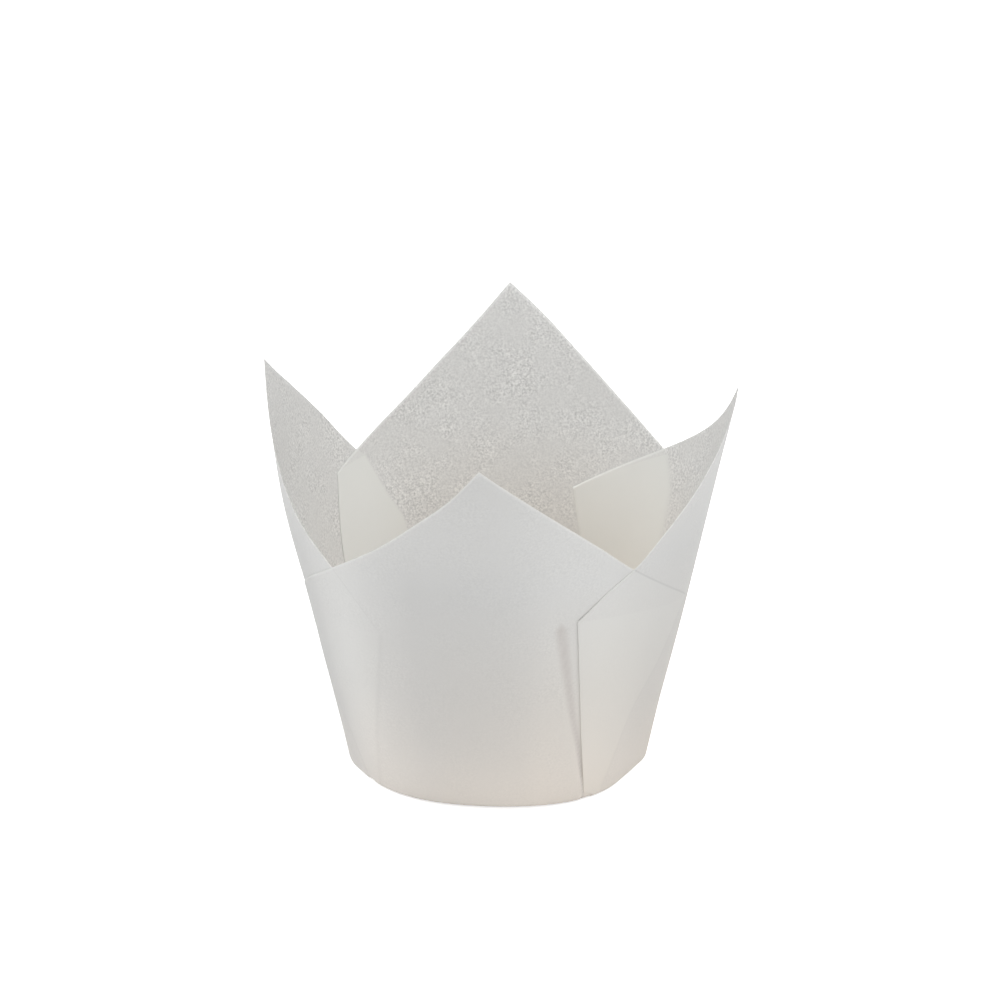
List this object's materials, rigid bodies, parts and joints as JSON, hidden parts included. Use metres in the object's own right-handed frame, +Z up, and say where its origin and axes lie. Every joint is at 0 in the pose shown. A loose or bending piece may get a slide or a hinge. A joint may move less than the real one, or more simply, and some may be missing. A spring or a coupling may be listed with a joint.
{
  "type": "cupcake liner",
  "caption": "Round paper baking cup folded from one square sheet, with a flat base, flaring pleated wall and tall pointed corners.",
  "frame": {"origin": "middle of the underside of the flat base", "axes": "+Z up out of the cup's mouth; the sheet's four corners stand towards +X, +Y, -X and -Y, the last being the front"},
  "size_m": [0.0743, 0.0763, 0.065],
  "materials": {
    "greaseproof_paper": "uncoated white greaseproof paper, slightly translucent"
  },
  "bodies": {
    "root": {"cupcake_liner": "greaseproof_paper"}
  },
  "joints": []
}
